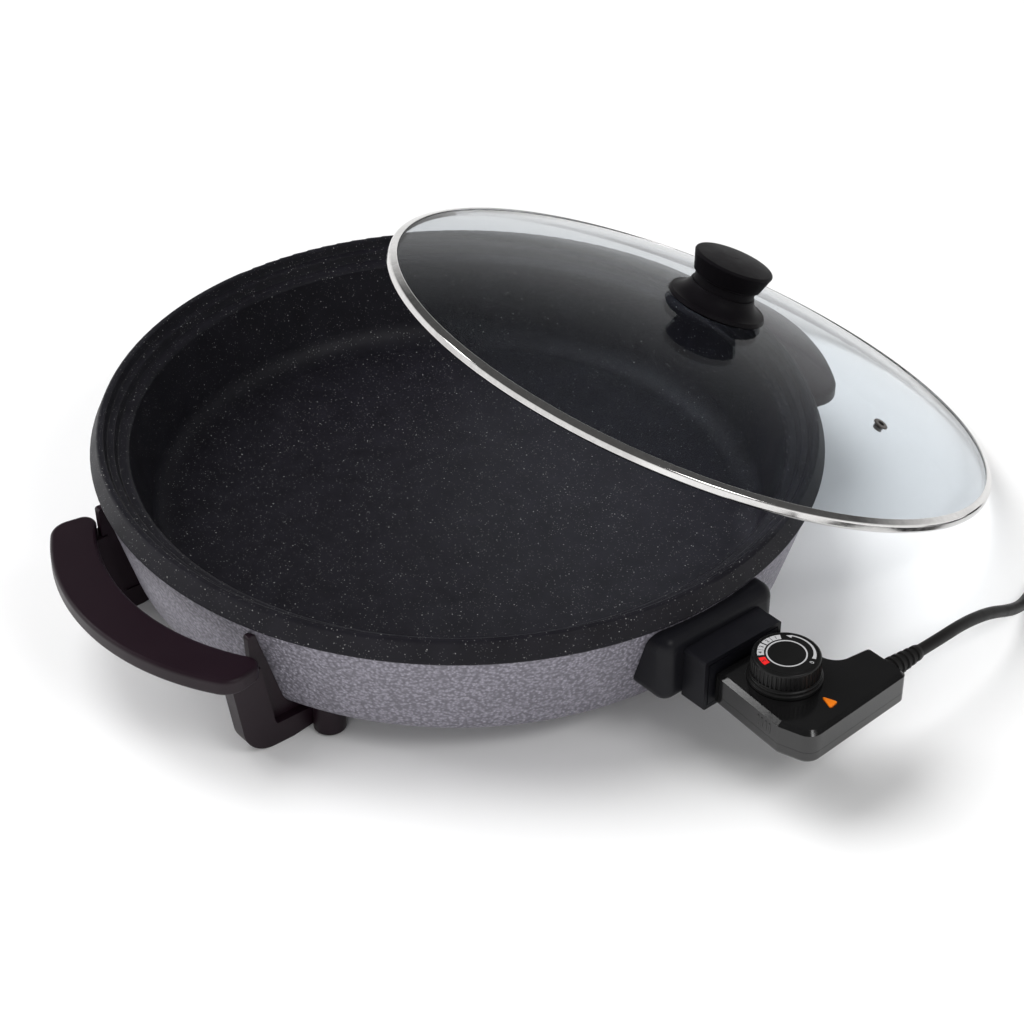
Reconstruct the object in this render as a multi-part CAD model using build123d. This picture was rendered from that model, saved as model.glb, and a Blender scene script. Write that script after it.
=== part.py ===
from build123d import *
import os
from math import asin, atan2, cos, degrees, pi, radians, sin, sqrt, tan

# Electric frying pan with a plug-in thermostat control, in millimetres.
# The origin is on the pan's axis at the level of the feet, +Z is up,
# the handles lie on the X axis and the control plugs in from -Y.

# Pan and outer body
FOOT_HEIGHT = 17.0            # floor to the underside of the body
RIM_HEIGHT = 92.5             # floor to the crest of the rim
CREST_RADIUS = 203.9
BAND_RADIUS = 210.0           # lower edge of the rim band
BAND_DROP = 12.3              # crest to the lower edge of the band
BAND_THICKNESS = 3.0
COOKING_DEPTH = 60.0          # crest to the cooking floor
PAN_WALL = 3.5
PAN_FLOOR = 5.0
PAN_FLOOR_RADIUS = 174.0
PAN_CORNER = 16.0
SEAT_OUTER = 193.6            # lid seat, outer and inner radius
SEAT_INNER = 187.5
SEAT_DROP = 10.5              # crest to the lid seat
STEP_OUTER = 199.4            # upper step of the rim
STEP_DROP = 5.5
HEATER_SPACE = 12.5            # between the pan's floor corner and the body
BODY_TOP_RADIUS = BAND_RADIUS - 1.6
BODY_FOOT_RADIUS = PAN_FLOOR_RADIUS + PAN_WALL + HEATER_SPACE
BODY_CORNER = 14.0
BODY_SHEET = 1.5
SLIP = 0.3                    # gap between pieces of different bodies
SEAT_GAP = 0.15               # gap between pieces that are assembled once

# Heating element and its terminals
ELEMENT_DIAMETER = 7.0
ELEMENT_RING_RADIUS = 125.0
ELEMENT_LEAD_BEND = 18.0
ELEMENT_RISER_BEND = 8.0
TERMINAL_SPACING = 30.0
TERMINAL_Z = 51.0
PIN_DIAMETER = 4.8
PIN_ENGAGEMENT = 11.0         # pin length inside the shroud
BUSH_DIAMETER = 9.0
SLEEVE_BORE = 7.0
SLEEVE_WALL = 1.0

# Socket on the body
FLANGE_WIDTH = 82.0
FLANGE_HEIGHT = 42.0
FLANGE_Z = 57.5               # middle height of the flange
FLANGE_FRONT = 217.0          # distance of its front face from the pan's axis
FLANGE_PILLOW = 8.0
SHROUD_WIDTH = 56.0
SHROUD_HEIGHT = 32.0
SHROUD_DEPTH = 16.5
SHROUD_WALL = 2.5
SHROUD_Z = 54.5               # middle height of the shroud

# Handles
HANDLE_TURN = -1.8            # bearing of the right handle
FINGER_GAP = 10.5             # rim band to the middle of a grip
GRIP_TOP = 65.0
GRIP_THICKNESS = 10.0
GRIP_WIDTH = 29.0
GRIP_INNER = BAND_RADIUS + FINGER_GAP
GRIP_OUTER = GRIP_INNER + GRIP_WIDTH
GRIP_END_INNER = GRIP_INNER - 29.0
GRIP_END_OUTER = GRIP_OUTER - 31.0
GRIP_HALF_LENGTH = 88.5
GRIP_END_SLANT = 5.0
GRIP_CORNER_INNER = 7.0
GRIP_CORNER_OUTER = 14.0
LEG_THICKNESS = 10.0
LEG_OUTER_FACE = 79.0         # distance of a leg's outer face from the handle's middle
LEG_TOP_OUTER = GRIP_END_OUTER - 4.5
LEG_FOOT_OUTER = LEG_TOP_OUTER - 9.5
LEG_INNER_TOP = LEG_TOP_OUTER - 19.5
LEG_INNER_FOOT = LEG_INNER_TOP - 8.0
LEG_HEEL = 20.0
FOOT_THICKNESS = 14.0
FOOT_FLAT_END = LEG_FOOT_OUTER - 29.0
FOOT_INNER = FOOT_FLAT_END - 24.0
FOOT_RISE = 4.0               # the underside rises from the flat to the inner end
WEB_SETBACK = 5.0             # the web lies behind the leg's outer face
WEB_THICKNESS = 4.0
WEB_TOP = 76.0
PILLAR_DIAMETER = 18.0
PILLAR_X = FOOT_INNER + PILLAR_DIAMETER * 0.25
PILLAR_Y = LEG_OUTER_FACE + PILLAR_DIAMETER * 0.34
PILLAR_LIFT = 1.5
HANDLE_SCREW = 4.0
HANDLE_SCREW_HEAD = 8.0
HANDLE_SCREW_SEAT = 9.0       # height of the shoulder that a screw's head bears on
HANDLE_SCREW_DEPTH = 7.0      # thread inside a boss

# Lid and its knob
LID_RADIUS = 193.0
LID_TILT = 23.4
LID_BEARING = -11.15          # direction in which the lid leans
LEAN_GAP = 0.6                # between the leaning glass and the rim's crest
LID_BAND_HEIGHT = 5.5
LID_BAND_WIDTH = 4.5
LID_BAND_ROUND = 1.8
GLASS = 4.0
GLASS_EDGE_LIFT = 1.4         # underside of the glass edge above the band's lower edge
DOME_RISE = 33.0              # underside of the dome above the glass edge
VENT_RADIUS = 121.0
VENT_ANGLE = -63.0
VENT_BORE = 4.0
VENT_FLANGE = 9.0
SKIRT_DIAMETER = 61.0
SKIRT_HEIGHT = 12.0
NECK_DIAMETER = 38.0
NECK_HEIGHT = 6.0
KNOB_DIAMETER = 49.0
KNOB_HEAD = 14.0
KNOB_TAPER = 3.5              # the head is narrower below
KNOB_SCREW = 5.0
CROWN_SETBACK = 1.6           # edge of the knob's domed top inside its widest circle
CROWN_DROP = 1.8
SEAL_THICKNESS = 1.2
WASHER_DIAMETER = 20.0
WASHER_THICKNESS = 1.5

# Thermostat control
CONTROL_TOP = 62.5
CONTROL_PARTING = 49.0
CONTROL_BOTTOM = 42.0
CONTROL_WALL = 2.2
CONTROL_LEFT = -21.5          # left side at the shroud, and at the crease
CONTROL_CREASE = (-25.7, -285.0)
CONTROL_CHEEK = (-19.5, -303.5)
CONTROL_CHEEK_ROUND = 9.0
CONTROL_RIGHT = 32.0
TAIL_END = 56.0
TAIL_FRONT = 299.5
TAIL_BACK = 271.5
TAIL_HOLLOW = 10.0
CONTROL_EDGE = 2.4
CONTROL_CORNER = CONTROL_EDGE + 0.4
TAIL_CORNER = CONTROL_EDGE + 1.6
NOSE_CLEARANCE = 0.6
NOSE_DEPTH = 12.0
PROBE_DIAMETER = 6.0
DIAL_X = 3.5
DIAL_Y = -260.8
DIAL_DIAMETER = 38.5
DIAL_HEIGHT = 15.2
DIAL_RING = 2.0               # height of each of two rings at the dial's foot
DIAL_GRIP_NOTCHES = 48
DIAL_NOTCH = 1.7
DIAL_FACE_DIAMETER = 32.6
SPINDLE_DIAMETER = 6.0
LENS_LENGTH = 9.5
LENS_WIDTH = 6.5
LENS_TIP = (6.0, -284.8)
NEON_DIAMETER = 5.0
NEON_LENGTH = 12.0

# Mains lead
CORD_DIAMETER = 7.0
CORD_Y = -283.0
CORD_Z = 50.5
RELIEF_LENGTH = 28.0
RELIEF_ROOT = 13.0
RELIEF_TIP = 9.0
RELIEF_RIBS = 5
SHEATH_END = 2.0              # sheath that reaches past the clamp
COIL_CENTRE = (276.0, -276.0)
COIL_START_ANGLE = 110.0      # where the lead joins the outer turn
COIL_RADIUS = 42.5            # middle of the outer turn
COIL_STEP = 7.5               # from turn to turn and from layer to layer
COIL_TURNS = 2                # in each of two layers
PLUG_DIAMETER = 37.0
PLUG_LENGTH = 42.0
PLUG_PIN = 4.8
PLUG_PIN_LENGTH = 19.0
PLUG_PIN_SPACING = 19.0


def level(drop):
    """Height of a point that lies below the crest of the rim."""
    return RIM_HEIGHT - drop


def turned(outline):
    """A solid of revolution about Z from a closed line in the XZ plane."""
    return revolve(make_face(outline), Axis.Z)


def outline_xz(points, radii):
    """A closed outline in the XZ plane with its own radius at each corner."""
    return FilletPolyline(*[(x, 0, z) for x, z in points], radius=radii, close=True)


def rod(diameter, start, length, direction=(0, 0, 1)):
    """A round bar from a start point along a direction."""
    plane = Plane(origin=start, z_dir=direction)
    return extrude(plane * Circle(diameter / 2), length)


def tube(outer, inner, start, length, direction=(0, 0, 1)):
    plane = Plane(origin=start, z_dir=direction)
    return extrude(plane * (Circle(outer / 2) - Circle(inner / 2)), length)


def block(x0, x1, y0, y1, z0, z1):
    """A box between two corners."""
    centre = ((x0 + x1) / 2, (y0 + y1) / 2, (z0 + z1) / 2)
    return Pos(*centre) * Box(abs(x1 - x0), abs(y1 - y0), abs(z1 - z0))


# Radii of the body's outer wall and of the pan's wall, by height

BAND_FOOT_Z = RIM_HEIGHT - BAND_DROP
FLOOR_Z = RIM_HEIGHT - COOKING_DEPTH
SEAT_Z = RIM_HEIGHT - SEAT_DROP
BODY_SLOPE = (BODY_TOP_RADIUS - BODY_FOOT_RADIUS) / (BAND_FOOT_Z - FOOT_HEIGHT)
PAN_SLOPE = (SEAT_INNER - PAN_FLOOR_RADIUS) / (SEAT_Z - PAN_WALL - FLOOR_Z + PAN_FLOOR)


def body_radius(z):
    """Outer radius of the body's wall at a height."""
    return BODY_FOOT_RADIUS + (z - FOOT_HEIGHT) * BODY_SLOPE


def pan_radius(z):
    """Outer radius of the pan's cooking wall at a height."""
    return PAN_FLOOR_RADIUS + PAN_WALL + (z - FLOOR_Z + PAN_FLOOR) * PAN_SLOPE


def body_envelope(gap):
    """Everything inside the body's outer wall, grown by a gap, up to the rim band."""
    top = BAND_FOOT_Z - gap
    points = [(0, FOOT_HEIGHT - gap), (BODY_FOOT_RADIUS + gap, FOOT_HEIGHT - gap)]
    points += [(body_radius(top) + gap, top), (0, top)]
    return turned(outline_xz(points, [0, BODY_CORNER + gap, 0, 0]))


# Pan: one spun shell with a rim band, a step, a lid seat and a flat floor

def make_pan():
    inside = [(0, FLOOR_Z), (PAN_FLOOR_RADIUS, FLOOR_Z)]
    inside += [(SEAT_INNER, SEAT_Z), (SEAT_OUTER, SEAT_Z + 0.4)]
    inside += [(SEAT_OUTER + 2.0, level(STEP_DROP)), (STEP_OUTER, level(STEP_DROP) + 0.4)]
    lip = [(CREST_RADIUS - 2.6, RIM_HEIGHT), (CREST_RADIUS + 1.0, RIM_HEIGHT)]
    band = [(BAND_RADIUS, BAND_FOOT_Z), (BAND_RADIUS - BAND_THICKNESS, BAND_FOOT_Z)]
    under = [(CREST_RADIUS - 0.4, level(STEP_DROP + PAN_WALL))]
    under += [(SEAT_OUTER + 2.0, level(SEAT_DROP + PAN_WALL - 0.6))]
    under += [(SEAT_INNER + PAN_WALL, level(SEAT_DROP + PAN_WALL))]
    under += [(PAN_FLOOR_RADIUS + PAN_WALL, FLOOR_Z - PAN_FLOOR)]
    radii = [0, PAN_CORNER, 3.0, 1.2, 1.0, 1.2, 1.2, 2.2, 1.0, 0.8, 1.0, 1.0, 1.5, PAN_CORNER + PAN_WALL, 0]
    return turned(outline_xz(inside + lip + band + under + [(0, FLOOR_Z - PAN_FLOOR)], radii))


SOCKET_OPENING_WIDTH = TERMINAL_SPACING + 2 * BUSH_DIAMETER
SOCKET_OPENING_HEIGHT = 2 * BUSH_DIAMETER + 4


def socket_x(side):
    return side * TERMINAL_SPACING / 2


def pillar_places():
    """Centres of the four screw pillars of the handles."""
    places = []
    for turn in (HANDLE_TURN, HANDLE_TURN + 180):
        for side in (1, -1):
            place = Vector(PILLAR_X, side * PILLAR_Y, 0).rotate(Axis.Z, turn)
            places.append((place.X, place.Y))
    return places


# Height of the body's sheet at the pillars, and the blind bosses there
BOSS_DIAMETER = 11.0
BOSS_TOP = FLOOR_Z - PAN_FLOOR - SEAT_GAP
BODY_FLAT = FOOT_HEIGHT + BODY_SHEET


def make_body():
    """Outer body: a tapered sheet wall and base with an opening behind the socket."""
    top = BAND_FOOT_Z - SEAT_GAP
    outer = [(0, FOOT_HEIGHT), (BODY_FOOT_RADIUS, FOOT_HEIGHT), (body_radius(top), top)]
    inner = [(body_radius(top) - BODY_SHEET, top), (BODY_FOOT_RADIUS - BODY_SHEET, BODY_FLAT), (0, BODY_FLAT)]
    body = turned(outline_xz(outer + inner, [0, BODY_CORNER, 0, 0, BODY_CORNER - BODY_SHEET, 0]))
    half_w, half_h = SOCKET_OPENING_WIDTH / 2, SOCKET_OPENING_HEIGHT / 2
    z0, z1 = TERMINAL_Z - half_h, TERMINAL_Z + half_h
    body -= block(-half_w, half_w, -FLANGE_FRONT, -pan_radius(TERMINAL_Z), z0, z1)
    hollow = body_envelope(-BODY_SHEET / 2)
    for x, y in pillar_places():
        boss = rod(BOSS_DIAMETER, (x, y, FOOT_HEIGHT), BOSS_TOP - FOOT_HEIGHT)
        body += boss & hollow
    for x, y in pillar_places():
        body -= rod(HANDLE_SCREW + 2 * SEAT_GAP, (x, y, 0), FOOT_HEIGHT + HANDLE_SCREW_DEPTH + SEAT_GAP)
    return body


# Heating element: a ring under the pan, with two leads that rise behind the socket

ELEMENT_Z = FLOOR_Z - PAN_FLOOR - ELEMENT_DIAMETER / 2 - SEAT_GAP
LEAD_TURN = asin((TERMINAL_SPACING / 2 + ELEMENT_LEAD_BEND) / (ELEMENT_RING_RADIUS + ELEMENT_LEAD_BEND))
LEAD_START_Y = -(ELEMENT_RING_RADIUS + ELEMENT_LEAD_BEND) * cos(LEAD_TURN)
RISER_FOOT_Y = -(BODY_FOOT_RADIUS - BODY_CORNER)
RISER_TOP_Y = -(body_radius(TERMINAL_Z) + pan_radius(TERMINAL_Z) - BODY_SHEET) / 2
TERMINAL_ROOT_Y = RISER_TOP_Y - 2 * ELEMENT_RISER_BEND


def make_element():
    start = (TERMINAL_SPACING / 2, LEAD_START_Y)
    turn = degrees(LEAD_TURN)
    bend_in = JernArc(start, (0, 1), ELEMENT_LEAD_BEND, -(90 - turn))
    ring = JernArc(bend_in @ 1, bend_in % 1, ELEMENT_RING_RADIUS, 360 - 2 * turn)
    bend_out = JernArc(ring @ 1, ring % 1, ELEMENT_LEAD_BEND, -(90 - turn))
    loop = Pos(0, 0, ELEMENT_Z) * Wire([bend_in, ring, bend_out])
    round_section = Plane(origin=loop @ 0, z_dir=loop % 0) * Circle(ELEMENT_DIAMETER / 2)
    element = sweep(round_section, path=loop)
    for side in (1, -1):
        x = socket_x(side)
        riser = FilletPolyline(
            (x, LEAD_START_Y, ELEMENT_Z), (x, RISER_FOOT_Y, ELEMENT_Z),
            (x, RISER_TOP_Y, TERMINAL_Z), (x, TERMINAL_ROOT_Y, TERMINAL_Z),
            radius=ELEMENT_RISER_BEND)
        end = Plane(origin=riser @ 0, z_dir=riser % 0) * Circle(ELEMENT_DIAMETER / 2)
        element += sweep(end, path=riser)
    return element


SHROUD_FRONT = FLANGE_FRONT + SHROUD_DEPTH
PIN_END_Y = -(FLANGE_FRONT + SHROUD_WALL + PIN_ENGAGEMENT)
OUTWARD = (0, -1, 0)


def make_pins():
    length = abs(PIN_END_Y - TERMINAL_ROOT_Y)
    roots = [(socket_x(s), TERMINAL_ROOT_Y, TERMINAL_Z) for s in (1, -1)]
    pins = [rod(PIN_DIAMETER, root, length, OUTWARD) for root in roots]
    return Compound([chamfer(p.faces().sort_by(Axis.Y)[0].edges(), 0.8) for p in pins])


BUSH_START_Y = TERMINAL_ROOT_Y - SEAT_GAP
BUSH_END_Y = -(FLANGE_FRONT + SHROUD_WALL)


def make_bushes():
    length = BUSH_START_Y - BUSH_END_Y
    bore = PIN_DIAMETER + 2 * SEAT_GAP
    places = [(socket_x(s), BUSH_START_Y, TERMINAL_Z) for s in (1, -1)]
    return Compound([tube(BUSH_DIAMETER, bore, place, length, OUTWARD) for place in places])


SLEEVE_DIAMETER = SLEEVE_BORE + 2 * SLEEVE_WALL
SLEEVE_INNER_Y = -(pan_radius(TERMINAL_Z + SLEEVE_DIAMETER / 2) + SEAT_GAP)
SLEEVE_OUTER_Y = -(FLANGE_FRONT + SHROUD_WALL)


def make_sleeve():
    """Closed tube that takes the temperature probe against the pan's wall."""
    start = (0, SLEEVE_INNER_Y, TERMINAL_Z)
    sleeve = rod(SLEEVE_DIAMETER, start, SLEEVE_INNER_Y - SLEEVE_OUTER_Y, OUTWARD)
    bore_start = (0, SLEEVE_INNER_Y - 2 * SLEEVE_WALL, TERMINAL_Z)
    return sleeve - rod(SLEEVE_BORE, bore_start, SLEEVE_INNER_Y - SLEEVE_OUTER_Y, OUTWARD)


SOCKET_SCREW_X = SHROUD_WIDTH / 2 - SHROUD_WALL - 3.6
SOCKET_SCREW = 3.0


def make_socket_base():
    """Pillow-edged block between the body's wall and the shroud."""
    z0, z1 = FLANGE_Z - FLANGE_HEIGHT / 2, FLANGE_Z + FLANGE_HEIGHT / 2
    half = FLANGE_WIDTH / 2
    base = block(-half, half, -FLANGE_FRONT, -(body_radius(z0) - BODY_CORNER), z0, z1)
    front = base.faces().sort_by(Axis.Y)[0].edges()
    corners = base.edges().filter_by(Axis.Y)
    base = fillet(list(front) + list(corners), FLANGE_PILLOW)
    base -= body_envelope(SEAT_GAP)
    for side in (1, -1):
        hole = BUSH_DIAMETER + 2 * SEAT_GAP
        base -= rod(hole, (socket_x(side), 0, TERMINAL_Z), SHROUD_FRONT, OUTWARD)
        base -= rod(SOCKET_SCREW, (side * SOCKET_SCREW_X, -FLANGE_FRONT + 8, SHROUD_Z), 20, OUTWARD)
    return base - rod(SLEEVE_DIAMETER + 2 * SEAT_GAP, (0, 0, TERMINAL_Z), SHROUD_FRONT, OUTWARD)


def make_shroud():
    """Open box that the control's nose slides into."""
    half_w, half_h = SHROUD_WIDTH / 2, SHROUD_HEIGHT / 2
    z0, z1 = SHROUD_Z - half_h, SHROUD_Z + half_h
    shroud = block(-half_w, half_w, -SHROUD_FRONT, -FLANGE_FRONT, z0, z1)
    shroud = fillet(shroud.edges().filter_by(Axis.Y), 1.5)
    room_w, back = half_w - SHROUD_WALL, -FLANGE_FRONT - SHROUD_WALL
    shroud -= block(-room_w, room_w, -SHROUD_FRONT - 1, back, z0 + SHROUD_WALL, z1 - SHROUD_WALL)
    bush_hole, screw_hole = BUSH_DIAMETER + 2 * SEAT_GAP, SOCKET_SCREW + 2 * SEAT_GAP
    for side in (1, -1):
        shroud -= rod(bush_hole, (socket_x(side), 0, TERMINAL_Z), SHROUD_FRONT, OUTWARD)
        shroud -= rod(screw_hole, (side * SOCKET_SCREW_X, 0, SHROUD_Z), SHROUD_FRONT, OUTWARD)
    return shroud - rod(SLEEVE_DIAMETER + 2 * SEAT_GAP, (0, 0, TERMINAL_Z), SHROUD_FRONT, OUTWARD)


def make_socket_screws():
    screws = []
    for side in (1, -1):
        seat = (side * SOCKET_SCREW_X, -FLANGE_FRONT - SHROUD_WALL, SHROUD_Z)
        shank = rod(SOCKET_SCREW - 2 * SEAT_GAP, seat, 9, (0, 1, 0))
        screws.append(shank + rod(5.6, seat, 1.6, OUTWARD))
    return Compound(screws)


# Handles: a bowed grip on two legs that stand on the floor and hug the body

def make_grip():
    """The bowed bar, with rounded ends that tuck under the rim."""
    short = GRIP_HALF_LENGTH - GRIP_END_SLANT
    inner = ThreePointArc((GRIP_END_INNER, -short), (GRIP_INNER, 0), (GRIP_END_INNER, short))
    outer = ThreePointArc((GRIP_END_OUTER, GRIP_HALF_LENGTH), (GRIP_OUTER, 0),
                          (GRIP_END_OUTER, -GRIP_HALF_LENGTH))
    plan = make_face(Wire([inner, Line(inner @ 1, outer @ 0), outer, Line(outer @ 1, inner @ 0)]))
    corners = plan.vertices().group_by(Axis.X)
    plan = fillet(corners[0], GRIP_CORNER_INNER)
    plan = fillet([v for v in plan.vertices() if abs(abs(v.Y) - GRIP_HALF_LENGTH) < 0.1], GRIP_CORNER_OUTER)
    grip = extrude(Pos(0, 0, GRIP_TOP - GRIP_THICKNESS) * plan, GRIP_THICKNESS)
    grip = fillet(grip.faces().sort_by(Axis.Z)[-1].edges(), GRIP_THICKNESS * 0.25)
    return fillet(grip.faces().sort_by(Axis.Z)[0].edges(), GRIP_THICKNESS * 0.2)


def make_handle():
    """The handle on the +X side: a grip, two legs with feet, webs and screw pillars."""
    handle = make_grip()
    top = GRIP_TOP - GRIP_THICKNESS * 0.8
    for side in (1, -1):
        leg = [(LEG_TOP_OUTER, top), (LEG_FOOT_OUTER, 0), (FOOT_FLAT_END, 0), (FOOT_INNER, FOOT_RISE)]
        leg += [(FOOT_INNER, FOOT_THICKNESS), (LEG_INNER_FOOT, FOOT_THICKNESS), (LEG_INNER_TOP, top)]
        line = outline_xz(leg, [0, LEG_HEEL, 2, 1, 1, 2.5, 0])
        side_face = Pos(0, side * LEG_OUTER_FACE, 0) * make_face(line)
        handle += extrude(side_face, amount=LEG_THICKNESS, dir=(0, -side, 0))
        web = [(FOOT_INNER, FOOT_THICKNESS - 4), (LEG_INNER_FOOT + 3, FOOT_THICKNESS - 4), (LEG_INNER_TOP + 3, top)]
        web += [(LEG_INNER_TOP + 4, WEB_TOP), (FOOT_INNER, WEB_TOP)]
        web_line = outline_xz(web, [0, 0, 0, 1.5, 0])
        web_face = Pos(0, side * (LEG_OUTER_FACE - WEB_SETBACK), 0) * make_face(web_line)
        handle += extrude(web_face, amount=WEB_THICKNESS, dir=(0, -side, 0))
        pillar_top = FOOT_HEIGHT + BODY_CORNER / 2
        handle += rod(PILLAR_DIAMETER, (PILLAR_X, side * PILLAR_Y, PILLAR_LIFT), pillar_top - PILLAR_LIFT)
    handle -= body_envelope(SEAT_GAP)
    for side in (1, -1):
        foot = (PILLAR_X, side * PILLAR_Y, 0)
        handle -= rod(HANDLE_SCREW + 2 * SEAT_GAP, foot, 2 * FOOT_HEIGHT)
        handle -= rod(HANDLE_SCREW_HEAD + 2 * SEAT_GAP, foot, HANDLE_SCREW_SEAT)
    return handle


def make_handle_screws():
    screws = []
    shank = FOOT_HEIGHT + HANDLE_SCREW_DEPTH - HANDLE_SCREW_SEAT
    for x, y in pillar_places():
        head = rod(HANDLE_SCREW_HEAD, (x, y, HANDLE_SCREW_SEAT - 3), 3)
        screws.append(head + rod(HANDLE_SCREW, (x, y, HANDLE_SCREW_SEAT), shank))
    return Compound(screws)


# Lid, modelled level and then leaned on the rim with its edge on the floor

GLASS_RADIUS = LID_RADIUS - 1.5
DOME_RADIUS = (GLASS_RADIUS ** 2 + DOME_RISE ** 2) / (2 * DOME_RISE)
DOME_CENTRE_Z = GLASS_EDGE_LIFT + DOME_RISE - DOME_RADIUS
LEAN_SIN, LEAN_COS = sin(radians(LID_TILT)), cos(radians(LID_TILT))
LID_CENTRE_Z = LID_RADIUS * LEAN_SIN + SLIP - LID_BAND_ROUND * (LEAN_SIN + LEAN_COS - 1)
CREST_BELOW_DOME = RIM_HEIGHT - LID_CENTRE_Z - DOME_CENTRE_Z * LEAN_COS
LID_OFFSET = CREST_RADIUS - DOME_CENTRE_Z * LEAN_SIN - sqrt((DOME_RADIUS - LEAN_GAP) ** 2 - CREST_BELOW_DOME ** 2)
LID_PLACE = (
    Pos(LID_OFFSET * cos(radians(LID_BEARING)), LID_OFFSET * sin(radians(LID_BEARING)), LID_CENTRE_Z)
    * Rot(0, 0, LID_BEARING) * Rot(0, LID_TILT, 0))


def dome_z(radius, offset=0.0):
    """Height of the glass underside, or of a surface outside it, at a radius."""
    return DOME_CENTRE_Z + sqrt((DOME_RADIUS + offset) ** 2 - radius ** 2)


def dome_arc(r0, r1, offset):
    mid = (r0 + r1) / 2
    return ThreePointArc(*[(r, 0, dome_z(r, offset)) for r in (r0, mid, r1)])


GLASS_HOLE = KNOB_SCREW + 2.0
LID_TOP_Z = dome_z(GLASS_HOLE / 2, GLASS)


def vent_axis():
    """Plane on the glass at the vent, square to the dome."""
    a = radians(VENT_ANGLE)
    lean = asin(VENT_RADIUS / DOME_RADIUS)
    direction = (sin(lean) * cos(a), sin(lean) * sin(a), cos(lean))
    place = (VENT_RADIUS * cos(a), VENT_RADIUS * sin(a), dome_z(VENT_RADIUS))
    return Plane(origin=place, z_dir=direction)


def make_glass():
    under = dome_arc(GLASS_HOLE / 2, GLASS_RADIUS, 0)
    over = dome_arc(GLASS_HOLE / 2, GLASS_RADIUS, GLASS)
    edges = [under, Line(under @ 1, over @ 1), over, Line(over @ 0, under @ 0)]
    glass = revolve(make_face(Wire(edges)), Axis.Z)
    hole = vent_axis() * Pos(0, 0, -GLASS) * Cylinder(VENT_BORE / 2 + 1.2, 4 * GLASS)
    return glass - hole


def make_lid_band(glass):
    section = [(LID_RADIUS - LID_BAND_WIDTH, 0), (LID_RADIUS, 0)]
    section += [(LID_RADIUS, LID_BAND_HEIGHT), (LID_RADIUS - LID_BAND_WIDTH, LID_BAND_HEIGHT + 2.2)]
    return turned(outline_xz(section, [0.5, LID_BAND_ROUND, LID_BAND_ROUND, 0.5])) - glass


def make_vent():
    eyelet = Cylinder(VENT_BORE / 2 + 1.0, GLASS + 1.6, align=(Align.CENTER, Align.CENTER, Align.MIN))
    eyelet = Pos(0, 0, -0.8) * eyelet
    flange = Cylinder(VENT_FLANGE / 2, 0.9, align=(Align.CENTER, Align.CENTER, Align.MIN))
    flange = Pos(0, 0, GLASS + 0.1) * flange
    bore = Cylinder(VENT_BORE / 2, 6 * GLASS)
    return vent_axis() * (fillet((eyelet + flange).edges().sort_by(Axis.Z)[-1], 0.4) - bore)


SKIRT_Z = LID_TOP_Z + SEAL_THICKNESS
NECK_Z = SKIRT_Z + SKIRT_HEIGHT
HEAD_Z = NECK_Z + NECK_HEIGHT
SCREW_REACH = 18.0
WASHER_Z = dome_z(WASHER_DIAMETER / 2) - WASHER_THICKNESS


def make_seal():
    return tube(SKIRT_DIAMETER * 0.55, KNOB_SCREW + 1, (0, 0, LID_TOP_Z), SEAL_THICKNESS)


def make_skirt():
    """Flared foot of the knob, hollow below."""
    foot, top = SKIRT_DIAMETER / 2, NECK_DIAMETER / 2 + 1
    foot_edge = 3.5
    waist = (top + (foot - top) * 0.33, 0, SKIRT_Z + foot_edge + 2.6)
    flare = ThreePointArc((foot - 1, 0, SKIRT_Z + foot_edge), waist, (top, 0, NECK_Z))
    bore = (KNOB_SCREW + 1) / 2
    points = [flare @ 1, (bore, 0, NECK_Z), (bore, 0, SKIRT_Z)]
    points += [(foot - 1.2, 0, SKIRT_Z), (foot, 0, SKIRT_Z + 1.2), flare @ 0]
    return revolve(make_face(Wire([flare] + Polyline(*points).edges())), Axis.Z)


def make_knob():
    """Head of the knob: it widens upwards to a crisp edge round a softly domed top."""
    head, neck = KNOB_DIAMETER / 2, NECK_DIAMETER / 2
    top = HEAD_Z + KNOB_HEAD
    edge = head - CROWN_SETBACK
    sphere = (edge ** 2 + CROWN_DROP ** 2) / (2 * CROWN_DROP)
    middle = top - sphere + sqrt(sphere ** 2 - (edge / 2) ** 2)
    bore = KNOB_SCREW / 2 + SEAT_GAP
    bore_end = SKIRT_Z + SCREW_REACH + SEAT_GAP
    crown = ThreePointArc((edge, 0, top - CROWN_DROP), (edge / 2, 0, middle), (0, 0, top))
    shoulder = (head, 0, top - CROWN_DROP - CROWN_SETBACK)
    turn = (head - CROWN_SETBACK * 0.3, 0, top - CROWN_DROP - CROWN_SETBACK * 0.3)
    rim = ThreePointArc(shoulder, turn, crown @ 0)
    points = [crown @ 1, (0, 0, bore_end), (bore, 0, bore_end), (bore, 0, NECK_Z), (neck, 0, NECK_Z)]
    points += [(neck, 0, HEAD_Z - 0.8), (head - KNOB_TAPER, 0, HEAD_Z), shoulder]
    return revolve(make_face(Wire([crown, rim] + Polyline(*points).edges())), Axis.Z)


def make_knob_washer():
    return tube(WASHER_DIAMETER, KNOB_SCREW + 1, (0, 0, WASHER_Z), WASHER_THICKNESS)


def make_knob_screw():
    head = rod(9.0, (0, 0, WASHER_Z - 3.2), 3.2)
    head = fillet(head.edges().sort_by(Axis.Z)[0], 1.2)
    return head + rod(KNOB_SCREW, (0, 0, WASHER_Z), SKIRT_Z + SCREW_REACH - WASHER_Z)


# Thermostat control: a two-part housing bent to the side, with a dial on top

CONTROL_BACK = SHROUD_FRONT + SLIP


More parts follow.
